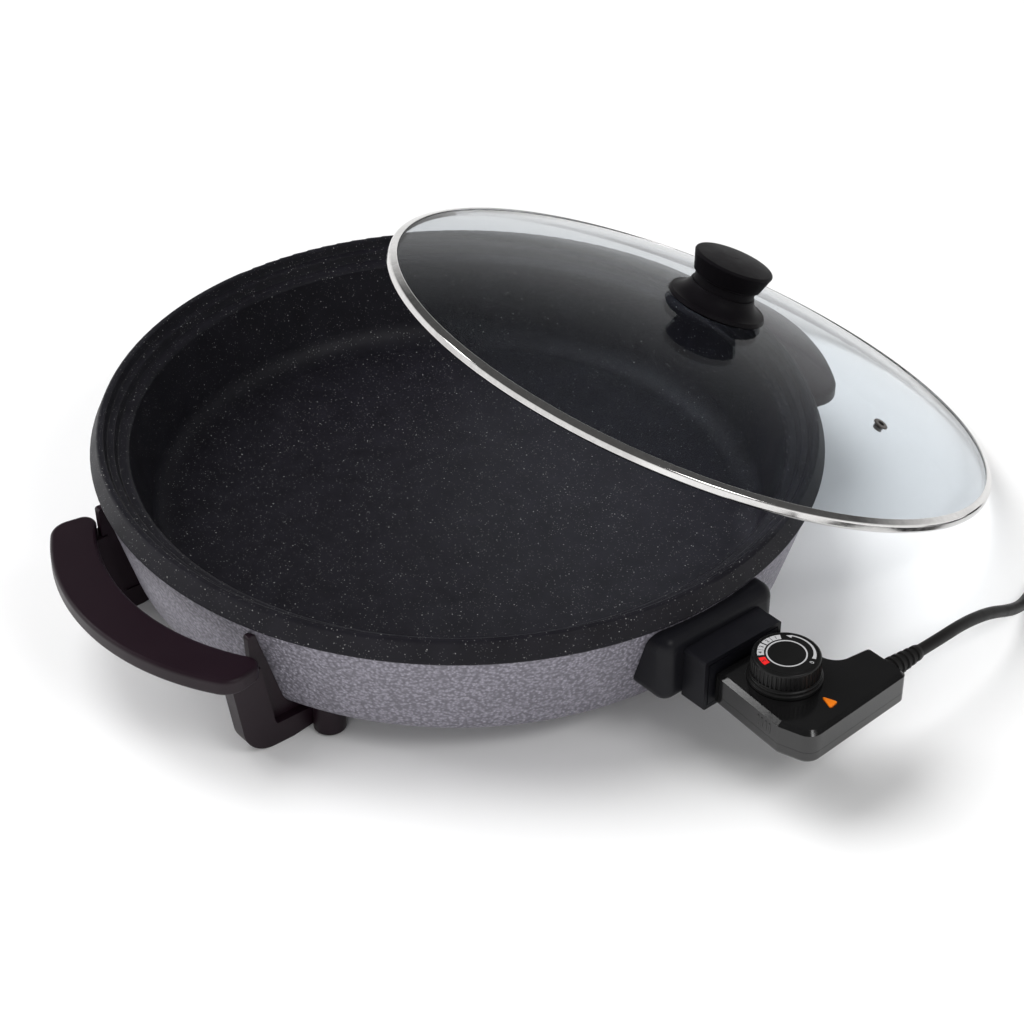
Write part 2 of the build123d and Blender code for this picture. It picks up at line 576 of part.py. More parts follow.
def control_outline(inset):
    """Plan of the housing, drawn in by an inset."""
    points = [
        (CONTROL_LEFT, -CONTROL_BACK), CONTROL_CREASE, CONTROL_CHEEK,
        (TAIL_END, -TAIL_FRONT), (TAIL_END, -TAIL_BACK),
        (CONTROL_RIGHT, -TAIL_BACK + 3), (CONTROL_RIGHT, -CONTROL_BACK)]
    radii = [CONTROL_CORNER, CONTROL_CORNER, CONTROL_CHEEK_ROUND]
    radii += [TAIL_CORNER, TAIL_CORNER, TAIL_HOLLOW, CONTROL_CORNER]
    plan = make_face(FilletPolyline(*points, radius=radii, close=True))
    return offset(plan, amount=-inset) if inset else plan


def housing_part(z0, z1, inset=0.0):
    return extrude(Pos(0, 0, z0) * control_outline(inset), z1 - z0)


NOSE_HALF = SHROUD_WIDTH / 2 - SHROUD_WALL - NOSE_CLEARANCE
NOSE_BOTTOM = SHROUD_Z - SHROUD_HEIGHT / 2 + SHROUD_WALL + NOSE_CLEARANCE
NOSE_TOP = SHROUD_Z + SHROUD_HEIGHT / 2 - SHROUD_WALL - NOSE_CLEARANCE
NOSE_END_Y = -(CONTROL_BACK - NOSE_DEPTH)
RECEPTACLE_DIAMETER = PIN_DIAMETER + 2 * SLIP + 2.2
RECEPTACLE_END_Y = -(CONTROL_BACK + 9)


def probe_and_pin_holes(grow):
    """Bars through the nose for the receptacles and the probe."""
    length = NOSE_DEPTH + 16
    bars = rod(PROBE_DIAMETER + 2 * grow, (0, NOSE_END_Y + 5, TERMINAL_Z), length, OUTWARD)
    for side in (1, -1):
        start = (socket_x(side), NOSE_END_Y + 5, TERMINAL_Z)
        bars += rod(RECEPTACLE_DIAMETER + 2 * grow, start, length, OUTWARD)
    return bars


LENS_BACK = (LENS_TIP[0] + 0.2, LENS_TIP[1] - LENS_LENGTH)


def lens_plan(inset):
    half = LENS_WIDTH / 2
    points = [LENS_TIP, (LENS_BACK[0] + half, LENS_BACK[1] + 1), (LENS_BACK[0] - half, LENS_BACK[1])]
    plan = make_face(FilletPolyline(*points, radius=[0.6, 1.0, 1.0], close=True))
    return offset(plan, amount=inset) if inset else plan


SHELL_SCREWS = [(-16.6, -250.0), (27.2, -250.0), (-16.5, -288.0), (46.0, -275.9)]
SHELL_SCREW = 2.6
SHELL_POST = 6.0
SHELL_THREAD = 8.0            # thread above the parting line
SCREW_SINK = 3.0              # depth of a screw's head in the lower shell


def make_top_shell():
    shell = housing_part(CONTROL_PARTING, CONTROL_TOP)
    shell = chamfer(shell.faces().sort_by(Axis.Z)[-1].edges(), CONTROL_EDGE)
    shell -= housing_part(CONTROL_PARTING, CONTROL_TOP - CONTROL_WALL, CONTROL_WALL)
    for x, y in SHELL_SCREWS:
        shell += rod(SHELL_POST, (x, y, CONTROL_PARTING), CONTROL_TOP - CONTROL_WALL - CONTROL_PARTING)
        shell -= rod(SHELL_SCREW + 2 * SEAT_GAP, (x, y, CONTROL_PARTING), SHELL_THREAD + SEAT_GAP)
    shell -= rod(SPINDLE_DIAMETER + 2 * SLIP, (DIAL_X, DIAL_Y, CONTROL_PARTING), 2 * DIAL_HEIGHT)
    shell -= extrude(Pos(0, 0, CONTROL_TOP - 2 * CONTROL_WALL) * lens_plan(SEAT_GAP), 3 * CONTROL_WALL)
    shell -= probe_and_pin_holes(SEAT_GAP)
    return shell - rod(RELIEF_ROOT + 2 * SEAT_GAP, (TAIL_END - 4, CORD_Y, CORD_Z), 10, (1, 0, 0))


def make_bottom_shell():
    shell = housing_part(CONTROL_BOTTOM, CONTROL_PARTING - SEAT_GAP)
    shell = fillet(shell.faces().sort_by(Axis.Z)[0].edges(), CONTROL_EDGE)
    shell -= housing_part(CONTROL_BOTTOM + CONTROL_WALL, CONTROL_PARTING, CONTROL_WALL)
    post_foot = CONTROL_BOTTOM + CONTROL_WALL / 2
    for x, y in SHELL_SCREWS:
        shell += rod(SHELL_POST, (x, y, post_foot), CONTROL_PARTING - SEAT_GAP - post_foot)
        shell -= rod(SHELL_SCREW + 2 * SEAT_GAP, (x, y, CONTROL_BOTTOM - 1), 2 * CONTROL_WALL + 12)
        shell -= rod(SHELL_SCREW * 2 + 2 * SEAT_GAP, (x, y, CONTROL_BOTTOM - 1), 1 + SCREW_SINK)
    shell -= probe_and_pin_holes(SEAT_GAP)
    return shell - rod(RELIEF_ROOT + 2 * SEAT_GAP, (TAIL_END - 4, CORD_Y, CORD_Z), 10, (1, 0, 0))


def make_shell_screws():
    screws = []
    seat = CONTROL_BOTTOM + SCREW_SINK
    for x, y in SHELL_SCREWS:
        head = rod(SHELL_SCREW * 2, (x, y, seat - 2), 2)
        screws.append(head + rod(SHELL_SCREW, (x, y, seat), CONTROL_PARTING + SHELL_THREAD - seat))
    return Compound(screws)


def make_nose():
    """Block that slides into the shroud and holds the receptacles and the probe."""
    nose = block(-NOSE_HALF, NOSE_HALF, NOSE_END_Y, -CONTROL_BACK + SEAT_GAP, NOSE_BOTTOM, NOSE_TOP)
    nose = chamfer(nose.faces().sort_by(Axis.Y)[-1].edges(), 1.0)
    return nose - probe_and_pin_holes(SEAT_GAP)


def make_receptacles():
    length = NOSE_END_Y - RECEPTACLE_END_Y
    bore = PIN_DIAMETER + 2 * SLIP
    places = [(socket_x(s), NOSE_END_Y, TERMINAL_Z) for s in (1, -1)]
    return Compound([tube(RECEPTACLE_DIAMETER, bore, p, length, OUTWARD) for p in places])


PROBE_TIP_Y = SLEEVE_INNER_Y - 2 * SLEEVE_WALL - SLIP
FRAME_BACK_Y = RECEPTACLE_END_Y - 3


def make_probe():
    """Sensing rod, from its tip in the sleeve to the thermostat frame."""
    probe = rod(PROBE_DIAMETER, (0, PROBE_TIP_Y, TERMINAL_Z), PROBE_TIP_Y - FRAME_BACK_Y, OUTWARD)
    return fillet(probe.edges().sort_by(Axis.Y)[-1], 2.0)


FRAME_SHEET = 1.2
FRAME_BOTTOM = CONTROL_BOTTOM + CONTROL_WALL + SEAT_GAP
FRAME_FRONT_Y = DIAL_Y - 12
FRAME_BRIDGE_Z = 56.0
FRAME_HALF = 9.0


def make_frame():
    """Bent strip that carries the probe, the contacts and the spindle's bush."""
    x0, x1 = DIAL_X - FRAME_HALF, DIAL_X + FRAME_HALF
    top = FRAME_BRIDGE_Z + FRAME_SHEET
    frame = block(x0, x1, FRAME_BACK_Y, FRAME_FRONT_Y, FRAME_BOTTOM, FRAME_BOTTOM + FRAME_SHEET)
    frame += block(x0, x1, FRAME_BACK_Y, FRAME_BACK_Y - FRAME_SHEET, FRAME_BOTTOM, top)
    frame += block(x0, x1, FRAME_FRONT_Y, FRAME_FRONT_Y + FRAME_SHEET, FRAME_BOTTOM, top)
    frame += block(x0, x1, FRAME_BACK_Y, FRAME_FRONT_Y, FRAME_BRIDGE_Z, top)
    return frame - rod(SPINDLE_DIAMETER + 2 * SLIP, (DIAL_X, DIAL_Y, FRAME_BRIDGE_Z - 1), 10)


STACK_X = DIAL_X + FRAME_HALF - 4
STACK_Y = FRAME_FRONT_Y + 4
SPACER_HEIGHT = 2.4
LEAF = 0.5


def leaf_z(index):
    """Underside of a contact leaf in the stack."""
    return FRAME_BOTTOM + FRAME_SHEET + SPACER_HEIGHT + index * (LEAF + SPACER_HEIGHT)


def make_spacers():
    starts = [FRAME_BOTTOM + FRAME_SHEET, leaf_z(0) + LEAF]
    return Compound([rod(5.0, (STACK_X, STACK_Y, z), SPACER_HEIGHT) for z in starts])


def make_leaf(index):
    """Spring contact leaf with its contact button."""
    z = leaf_z(index)
    leaf = block(STACK_X - 2.5, STACK_X + 2.5, FRAME_BACK_Y - 3, STACK_Y - 2.5, z, z + LEAF)
    button = rod(3.0, (STACK_X, FRAME_BACK_Y - 6, z - 0.8 * index), LEAF + 0.8)
    return leaf + button


def make_lens():
    lens = extrude(Pos(0, 0, CONTROL_TOP - CONTROL_WALL) * lens_plan(0), CONTROL_WALL + 0.8)
    return fillet(lens.faces().sort_by(Axis.Z)[-1].edges(), 0.4)


def make_neon():
    """Indicator lamp lying under the lens."""
    z = CONTROL_TOP - CONTROL_WALL - NEON_DIAMETER / 2 - SEAT_GAP
    start = (LENS_TIP[0] - NEON_LENGTH / 2, LENS_TIP[1] - LENS_LENGTH * 0.6, z)
    lamp = rod(NEON_DIAMETER, start, NEON_LENGTH, (1, 0, 0))
    return fillet(lamp.edges(), 1.5)


CLAMP_X = 31.0
CLAMP_LENGTH = 6.0


def make_cord_clamp():
    """Saddle that grips the sheath inside the housing."""
    half = CORD_DIAMETER / 2 + 3
    floor = CONTROL_BOTTOM + CONTROL_WALL
    saddle = block(CLAMP_X, CLAMP_X + CLAMP_LENGTH, CORD_Y - half, CORD_Y + half, floor, CORD_Z + half)
    return saddle - rod(CORD_DIAMETER + 2 * SEAT_GAP, (CLAMP_X - 1, CORD_Y, CORD_Z), 10, (1, 0, 0))


# Dial: a notched knob that turns on the thermostat's spindle

DIAL_BASE_Z = CONTROL_TOP + SLIP
DIAL_TOP_Z = DIAL_BASE_Z + DIAL_HEIGHT
FACE_RECESS = 0.8


def make_dial():
    radius = DIAL_DIAMETER / 2
    ring_top = DIAL_BASE_Z + 2 * DIAL_RING
    points = [(0, DIAL_BASE_Z), (radius + 0.9, DIAL_BASE_Z), (radius + 0.9, DIAL_BASE_Z + DIAL_RING)]
    points += [(radius + 0.2, DIAL_BASE_Z + DIAL_RING + 0.4), (radius + 0.2, ring_top)]
    points += [(radius - 0.5, ring_top + 0.5), (radius - 0.9, DIAL_TOP_Z), (0, DIAL_TOP_Z)]
    dial = turned(outline_xz(points, [0, 0.4, 0.5, 0.2, 0.5, 0.2, 1.4, 0]))
    turns = [i * 360 / DIAL_GRIP_NOTCHES for i in range(DIAL_GRIP_NOTCHES)]
    notch = rod(DIAL_NOTCH, (radius - 0.4, 0, ring_top + 1.2), DIAL_TOP_Z - ring_top - 2.8)
    dial -= [Rot(0, 0, turn) * notch for turn in turns]
    dial -= rod(DIAL_FACE_DIAMETER + 2 * SEAT_GAP, (0, 0, DIAL_TOP_Z - FACE_RECESS), 5)
    dial -= rod(SPINDLE_DIAMETER + 2 * SEAT_GAP, (0, 0, DIAL_BASE_Z - 1), DIAL_HEIGHT - 4)
    return Pos(DIAL_X, DIAL_Y, 0) * dial


def make_dial_face():
    face = rod(DIAL_FACE_DIAMETER, (DIAL_X, DIAL_Y, DIAL_TOP_Z - FACE_RECESS), FACE_RECESS)
    return fillet(face.edges().sort_by(Axis.Z)[-1], 0.3)


SPINDLE_FOOT_Z = leaf_z(1) + LEAF + 1.0


def make_spindle():
    """Threaded screw that presses on the contact leaves."""
    top = DIAL_TOP_Z - 6
    return rod(SPINDLE_DIAMETER, (DIAL_X, DIAL_Y, SPINDLE_FOOT_Z), top - SPINDLE_FOOT_Z)


# Mains lead: strain relief, free stretch, coil, tie and plug

def make_relief():
    """Tapered and ribbed sleeve, with a collar inside the housing."""
    root, tip = RELIEF_ROOT / 2, RELIEF_TIP / 2
    pitch = (RELIEF_LENGTH - 6) / RELIEF_RIBS
    start = TAIL_END - CONTROL_WALL
    profile = [(start, 0), (start, root), (TAIL_END + 4, root)]
    for i in range(RELIEF_RIBS):
        x = TAIL_END + 4 + i * pitch
        r = root + (tip - root) * (i + 1) / RELIEF_RIBS
        profile += [(x + 0.2 * pitch, r - 1.1), (x + 0.5 * pitch, r - 1.1)]
        profile += [(x + 0.6 * pitch, r), (x + 0.98 * pitch, r)]
    end = TAIL_END + RELIEF_LENGTH
    profile += [(end, tip - 0.6), (end, 0)]
    face = make_face(Polyline(*[(x, r, 0) for x, r in profile], close=True))
    sheath = rod(CORD_DIAMETER, (CLAMP_X - SHEATH_END, 0, 0), start + SHEATH_END - CLAMP_X, (1, 0, 0))
    return Pos(0, CORD_Y, CORD_Z) * (revolve(face, Axis.X) + sheath)


def tube_along(path, diameter):
    section = Plane(origin=path @ 0, z_dir=path % 0) * Circle(diameter / 2)
    return sweep(section, path=path)


def corner_radii(points):
    """The largest sound radius at each corner of a route."""
    radii = []
    for a, b, c in zip(points, points[1:], points[2:]):
        first, second = Vector(b) - Vector(a), Vector(c) - Vector(b)
        turn = radians(first.get_angle(second))
        radii.append(0.45 * min(first.length, second.length) / tan(turn / 2))
    return radii


TIE_SHEET = 0.8
TIE_ROOM = 0.4                # gap between the tie and the turns
COIL_LIFT = TIE_SHEET + TIE_ROOM
COIL_LOW_Z = CORD_DIAMETER / 2 + COIL_LIFT
COIL_CLIMB = 0.5              # turns in which the coil climbs a layer
COIL_END = 2 * COIL_TURNS
COIL_RAISE = 0.25             # last turns, in which the end rises to the plug
PLUG_Z = PLUG_DIAMETER / 2 + 0.1


def ease(share):
    """A smooth rise from 0 to 1."""
    share = min(max(share, 0.0), 1.0)
    return share * share * (3 - 2 * share)


def coil_point(turns):
    """Middle line of the coil: inwards on the floor, up in half a turn, outwards on top."""
    inwards = min(turns, 2 * COIL_TURNS + COIL_CLIMB - turns)
    radius = COIL_RADIUS - inwards * COIL_STEP
    z = COIL_LOW_Z + COIL_STEP * ease((turns - COIL_TURNS) / COIL_CLIMB)
    z += (PLUG_Z - COIL_LOW_Z - COIL_STEP) * ease((turns - COIL_END + COIL_RAISE) / COIL_RAISE)
    angle = radians(COIL_START_ANGLE) - 2 * pi * turns
    return Vector(COIL_CENTRE[0] + radius * cos(angle), COIL_CENTRE[1] + radius * sin(angle), z)


def coil_heading(turns):
    step = 1e-4
    return (coil_point(turns + step) - coil_point(turns - step)).normalized()


def biarc(p0, t0, p1, t1):
    """Two arcs that join two points with given headings."""
    v = p1 - p0
    a, b, c = 2 * (1 - t0.dot(t1)), 2 * v.dot(t0 + t1), -v.dot(v)
    reach = (-b + sqrt(b * b - 4 * a * c)) / (2 * a)
    first, second = p0 + t0 * reach, p1 - t1 * reach
    middle = (first + second) * 0.5
    return [TangentArc(p0, middle, tangent=t0), TangentArc(middle, p1, tangent=second - first)]


COIL_ENTRY = coil_point(0) - coil_heading(0) * CORD_DIAMETER
COIL_EXIT = coil_point(COIL_END) + coil_heading(COIL_END) * CORD_DIAMETER


# The free stretch of the lead, chosen by hand: out of the relief, down to the floor, to the coil.
CORD_FLOOR_Z = CORD_DIAMETER / 2 + 0.1
CORD_START = TAIL_END + RELIEF_LENGTH
CORD_STRAIGHT = 18.0          # straight stretch at each end
CORD_ROUTE = [
    (CORD_START, CORD_Y, CORD_Z),
    (CORD_START + CORD_STRAIGHT, CORD_Y, CORD_Z),
    (CORD_START + 40.0, CORD_Y + 3.0, CORD_Z - 3.2),
    (CORD_START + 66.0, CORD_Y + 6.5, CORD_Z - 11.5),
    (CORD_START + 94.0, CORD_Y + 13.0, CORD_Z - 28.5),
    (CORD_START + 119.0, CORD_Y + 22.5, CORD_FLOOR_Z + 4.0),
    (CORD_START + 142.0, CORD_Y + 32.5, CORD_FLOOR_Z + 0.3),
    tuple(COIL_ENTRY - coil_heading(0) * CORD_STRAIGHT),
    tuple(COIL_ENTRY),
]


def make_coil():
    """One unbroken tube, with a straight end of one diameter at each side."""
    stops = [i * 0.25 for i in range(int(COIL_END * 4) + 1)]
    edges = [Line(COIL_ENTRY, coil_point(0))]
    for a, b in zip(stops, stops[1:]):
        edges += biarc(coil_point(a), coil_heading(a), coil_point(b), coil_heading(b))
    edges.append(Line(coil_point(COIL_END), COIL_EXIT))
    return Wire(edges)


def coil_gap():
    """Least gap between the coil's turns, measured on points of its middle line."""
    steps = 48
    points = [coil_point(i / steps) for i in range(COIL_END * steps + 1)]
    gaps = [(p - q).length for i, p in enumerate(points) for q in points[i + steps // 2:]]
    return min(gaps) - CORD_DIAMETER


TIE_TURN = 0.75               # place of the tie round the coil
TIE_WIDTH = 8.0


def make_tie():
    """Strap round the bundle of turns."""
    angle = COIL_START_ANGLE - 360 * TIE_TURN
    room = CORD_DIAMETER / 2 + TIE_ROOM
    near = COIL_RADIUS - (TIE_TURN + 1) * COIL_STEP - room - TIE_ROOM
    far = COIL_RADIUS - TIE_TURN * COIL_STEP + room
    low, high = COIL_LOW_Z - room, COIL_LOW_Z + COIL_STEP + room
    half = TIE_WIDTH / 2
    strap = block(near - TIE_SHEET, far + TIE_SHEET, -half, half, low - TIE_SHEET, high + TIE_SHEET)
    strap = fillet(strap.edges().filter_by(Axis.Y), 2.0)
    strap -= block(near, far, -TIE_WIDTH, TIE_WIDTH, low, high)
    return Pos(*COIL_CENTRE, 0) * Rot(0, 0, angle) * strap


# Plug, modelled along +X and then laid at the coil's end

PLUG_RELIEF = 24.0
PLUG_FRONT = PLUG_RELIEF + PLUG_LENGTH
PLUG_HEADING = coil_heading(COIL_END)
PLUG_PLACE = Pos(*COIL_EXIT) * Rot(0, 0, degrees(atan2(PLUG_HEADING.Y, PLUG_HEADING.X)))
CLIP_WIDTH = 6.0
CLIP_SHEET = 0.8


def make_plug_body():
    """Round earthed plug with a waisted back and a side groove for each earth clip."""
    face, back = PLUG_DIAMETER / 2, RELIEF_ROOT / 2
    waist = ThreePointArc((PLUG_RELIEF, back + 3, 0), (PLUG_RELIEF + PLUG_LENGTH * 0.3, face * 0.66, 0),
                          (PLUG_FRONT - PLUG_LENGTH * 0.4, face, 0))
    points = [waist @ 1, (PLUG_FRONT, face, 0), (PLUG_FRONT, 0, 0), (0, 0, 0)]
    points += [(0, CORD_DIAMETER / 2 + 1, 0), (PLUG_RELIEF - 2, back, 0), waist @ 0]
    plug = revolve(make_face(Wire([waist] + Polyline(*points).edges())), Axis.X)
    for side in (1, -1):
        outer, inner = side * (face + 1), side * (face - 3.2)
        plug -= block(PLUG_FRONT - 14, PLUG_FRONT + 1, outer, inner, -CLIP_WIDTH / 2 - 1, CLIP_WIDTH / 2 + 1)
        hole = (PLUG_FRONT - 8, 0, side * PLUG_PIN_SPACING / 2)
        plug -= rod(PLUG_PIN + 2 * SEAT_GAP, hole, 10, (1, 0, 0))
    return PLUG_PLACE * plug


def make_plug_pins():
    pins = []
    for side in (1, -1):
        start = (PLUG_FRONT - 8, 0, side * PLUG_PIN_SPACING / 2)
        pin = rod(PLUG_PIN, start, 8 + PLUG_PIN_LENGTH, (1, 0, 0))
        pins.append(PLUG_PLACE * fillet(pin.edges().sort_by(Axis.X)[-1], 1.6))
    return Compound(pins)


def make_earth_clips():
    clips = []
    seat = PLUG_DIAMETER / 2 - 3.2
    for side in (1, -1):
        clip = block(PLUG_FRONT - 14, PLUG_FRONT - 0.5, side * seat, side * (seat + CLIP_SHEET),
                     -CLIP_WIDTH / 2, CLIP_WIDTH / 2)
        clips.append(PLUG_PLACE * clip)
    return Compound(clips)


def check_lead(run, coil, path):
    """Prints the measures of the lead."""
    section = pi * CORD_DIAMETER ** 2 / 4
    print("cord radii", [round(r, 1) for r in corner_radii(CORD_ROUTE)])
    print("cord run", round(path.length, 1), "volume ratio", round(run.volume / section / path.length, 4))
    print("coil gap", round(coil_gap(), 2), "coil length", round(coil.volume / section, 1))


def main():
    os.makedirs("parts", exist_ok=True)
    glass = make_glass()
    handle = make_handle()
    run_path = FilletPolyline(*CORD_ROUTE, radius=corner_radii(CORD_ROUTE))
    cord_run = tube_along(run_path, CORD_DIAMETER)
    cord_coil = tube_along(make_coil(), CORD_DIAMETER)
    check_lead(cord_run, cord_coil, run_path)
    fixed = {
        "pan_shell": make_pan(),
        "outer_body": make_body(),
        "heating_element": make_element(),
        "terminal_pins": make_pins(),
        "ceramic_bushes": make_bushes(),
        "probe_sleeve": make_sleeve(),
        "socket_base": make_socket_base(),
        "socket_shroud": make_shroud(),
        "socket_screws": make_socket_screws(),
        "handle_right": Rot(0, 0, HANDLE_TURN) * handle,
        "handle_left": Rot(0, 0, HANDLE_TURN + 180) * handle,
        "handle_screws": make_handle_screws(),
    }
    lid = {
        "lid_glass": glass,
        "lid_band": make_lid_band(glass),
        "lid_vent": make_vent(),
        "knob_seal": make_seal(),
        "knob_skirt": make_skirt(),
        "lid_knob": make_knob(),
        "knob_washer": make_knob_washer(),
        "knob_screw": make_knob_screw(),
    }
    control = {
        "control_top_shell": make_top_shell(),
        "control_bottom_shell": make_bottom_shell(),
        "control_nose": make_nose(),
        "receptacles": make_receptacles(),
        "temperature_probe": make_probe(),
        "thermostat_frame": make_frame(),
        "contact_spacers": make_spacers(),
        "lower_contact_leaf": make_leaf(0),
        "upper_contact_leaf": make_leaf(1),
        "indicator_lens": make_lens(),
        "neon_lamp": make_neon(),
        "cord_clamp": make_cord_clamp(),
        "shell_screws": make_shell_screws(),
        "strain_relief": make_relief(),
        "cord_run": cord_run,
        "cord_coil": cord_coil,
        "coil_tie": make_tie(),
        "plug_body": make_plug_body(),
        "plug_pins": make_plug_pins(),
        "plug_earth_clips": make_earth_clips(),
    }
    dial = {
        "dial_knob": make_dial(),
        "dial_face": make_dial_face(),
        "dial_spindle": make_spindle(),
    }
    leaned = {name: LID_PLACE * shape for name, shape in lid.items()}
    for name, shape in {**fixed, **leaned, **control, **dial}.items():
        export_step(shape, f"parts/{name}.step")


main()
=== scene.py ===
import math

import bpy
import bmesh
from mathutils import Matrix, Vector


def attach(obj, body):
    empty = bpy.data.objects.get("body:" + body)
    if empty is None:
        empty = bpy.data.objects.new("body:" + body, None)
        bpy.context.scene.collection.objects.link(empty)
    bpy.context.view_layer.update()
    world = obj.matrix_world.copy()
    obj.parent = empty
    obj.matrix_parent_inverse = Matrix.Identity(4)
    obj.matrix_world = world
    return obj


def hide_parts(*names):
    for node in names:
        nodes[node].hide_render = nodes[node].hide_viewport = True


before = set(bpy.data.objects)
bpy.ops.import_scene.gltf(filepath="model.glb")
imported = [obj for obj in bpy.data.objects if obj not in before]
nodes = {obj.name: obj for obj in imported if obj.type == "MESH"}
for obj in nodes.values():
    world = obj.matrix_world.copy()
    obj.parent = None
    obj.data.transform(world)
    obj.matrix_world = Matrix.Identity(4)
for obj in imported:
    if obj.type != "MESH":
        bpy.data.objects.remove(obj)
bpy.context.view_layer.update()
scene = bpy.context.scene
MM = 0.001


# Materials: small builders for node trees

def new_material(name):
    """A material with its node tree, its shader and the object coordinates."""
    mat = bpy.data.materials.new(name)
    mat.use_nodes = True
    tree = mat.node_tree
    shader = tree.nodes["Principled BSDF"]
    coords = tree.nodes.new("ShaderNodeTexCoord").outputs["Object"]
    return mat, tree, shader, coords


def noise(tree, coords, scale, detail=3.0, rough=0.55):
    node = tree.nodes.new("ShaderNodeTexNoise")
    node.inputs["Scale"].default_value = scale
    node.inputs["Detail"].default_value = detail
    node.inputs["Roughness"].default_value = rough
    tree.links.new(coords, node.inputs["Vector"])
    return node.outputs["Fac"]


def cells(tree, coords, scale, feature="F1", out="Distance"):
    node = tree.nodes.new("ShaderNodeTexVoronoi")
    node.feature = feature
    node.inputs["Scale"].default_value = scale
    tree.links.new(coords, node.inputs["Vector"])
    return node.outputs[out]


def rgba(colour):
    """Four channels from a grey level or from three channels."""
    return (colour, colour, colour, 1.0) if isinstance(colour, float) else (*colour, 1.0)


def ramp(tree, value, start, end):
    """A colour ramp between two (position, colour) stops."""
    node = tree.nodes.new("ShaderNodeValToRGB")
    for element, (position, colour) in zip(node.color_ramp.elements, (start, end)):
        element.position = position
        element.color = rgba(colour)
    tree.links.new(value, node.inputs["Fac"])
    return node.outputs["Color"]


def mix(tree, factor, a, b):
    """A colour between a and b, which are colours or sockets."""
    node = tree.nodes.new("ShaderNodeMix")
    node.data_type = "RGBA"
    tree.links.new(factor, node.inputs["Factor"])
    for name, value in (("A", a), ("B", b)):
        socket = [s for s in node.inputs if s.name == name and s.type == "RGBA"][0]
        if isinstance(value, (tuple, float)):
            socket.default_value = rgba(value)
        else:
            tree.links.new(value, socket)
    return [s for s in node.outputs if s.type == "RGBA"][0]


def bump(tree, shader, height, strength, distance):
    node = tree.nodes.new("ShaderNodeBump")
    node.inputs["Strength"].default_value = strength
    node.inputs["Distance"].default_value = distance
    tree.links.new(height, node.inputs["Height"])
    tree.links.new(node.outputs["Normal"], shader.inputs["Normal"])


def moulded(name, dark, light, rough, rough_range=0.06, grain=900.0, depth=0.00004, shine=0.25):
    """Moulded plastic or rubber: faint cloudy colour, a fine grain and uneven gloss."""
    mat, tree, shader, coords = new_material(name)
    cloud = noise(tree, coords, 35.0, 4.0)
    tree.links.new(ramp(tree, cloud, (0.3, dark), (0.75, light)), shader.inputs["Base Color"])
    smear = noise(tree, coords, 91.0, 5.0, 0.65)
    low, high = max(rough - rough_range, 0.02), min(rough + rough_range, 1.0)
    tree.links.new(ramp(tree, smear, (0.3, low), (0.7, high)), shader.inputs["Roughness"])
    bump(tree, shader, noise(tree, coords, grain, 2.0), 0.35, depth)
    shader.inputs["Specular IOR Level"].default_value = shine
    return mat


def metal(name, dark, light, rough, rough_range):
    """Bare metal with a fine grain."""
    mat, tree, shader, coords = new_material(name)
    grain = noise(tree, coords, 260.0, 4.0, 0.6)
    low, high = rough - rough_range, rough + rough_range
    tree.links.new(ramp(tree, grain, (0.25, dark), (0.75, light)), shader.inputs["Base Color"])
    tree.links.new(ramp(tree, grain, (0.3, low), (0.7, high)), shader.inputs["Roughness"])
    bump(tree, shader, grain, 0.3, 0.00001)
    shader.inputs["Metallic"].default_value = 1.0
    return mat


# Specks of the coating: cells per metre, size in a cell, share left out, brightness
SPECKS = ((620.0, 0.13, 0.80, 0.22), (1050.0, 0.17, 0.74, 0.12), (380.0, 0.085, 0.86, 0.34))


def speckled(name):
    """Black non-stick coating with small pale specks of several sizes."""
    mat, tree, shader, coords = new_material(name)
    cloud = noise(tree, coords, 60.0, 5.0)
    colour = ramp(tree, cloud, (0.3, (0.0072, 0.0068, 0.0094)), (0.75, (0.0118, 0.0112, 0.0152)))
    for scale, reach, chance, pale in SPECKS:
        near = ramp(tree, cells(tree, coords, scale), (reach, 1.0), (reach + 0.06, 0.0))
        lottery = tree.nodes.new("ShaderNodeSeparateColor")
        tree.links.new(cells(tree, coords, scale, out="Color"), lottery.inputs["Color"])
        picked = ramp(tree, lottery.outputs["Red"], (chance, 0.0), (chance + 0.02, 1.0))
        speck = tree.nodes.new("ShaderNodeMath")
        speck.operation = "MULTIPLY"
        tree.links.new(near, speck.inputs[0])
        tree.links.new(picked, speck.inputs[1])
        colour = mix(tree, speck.outputs[0], colour, pale)
    tree.links.new(colour, shader.inputs["Base Color"])
    smear = noise(tree, coords, 25.0, 4.0)
    tree.links.new(ramp(tree, smear, (0.3, 0.42), (0.7, 0.54)), shader.inputs["Roughness"])
    shader.inputs["Specular IOR Level"].default_value = 0.17
    bump(tree, shader, noise(tree, coords, 700.0, 3.0), 0.4, 0.00010)
    return mat


def hammertone(name):
    """Dark metallic paint with the small dimples of a hammered finish."""
    mat, tree, shader, coords = new_material(name)
    dimple = cells(tree, coords, 560.0, "SMOOTH_F1")
    flake = noise(tree, coords, 1300.0, 3.0)
    knoll = ramp(tree, dimple, (0.10, (0.58, 0.555, 0.645)), (0.55, (0.185, 0.176, 0.206)))
    tree.links.new(mix(tree, flake, (0.145, 0.138, 0.163), knoll), shader.inputs["Base Color"])
    shader.inputs["Metallic"].default_value = 0.35
    shader.inputs["Specular IOR Level"].default_value = 0.35
    tree.links.new(ramp(tree, flake, (0.3, 0.38), (0.7, 0.52)), shader.inputs["Roughness"])
    bump(tree, shader, dimple, 0.9, 0.0009)
    return mat


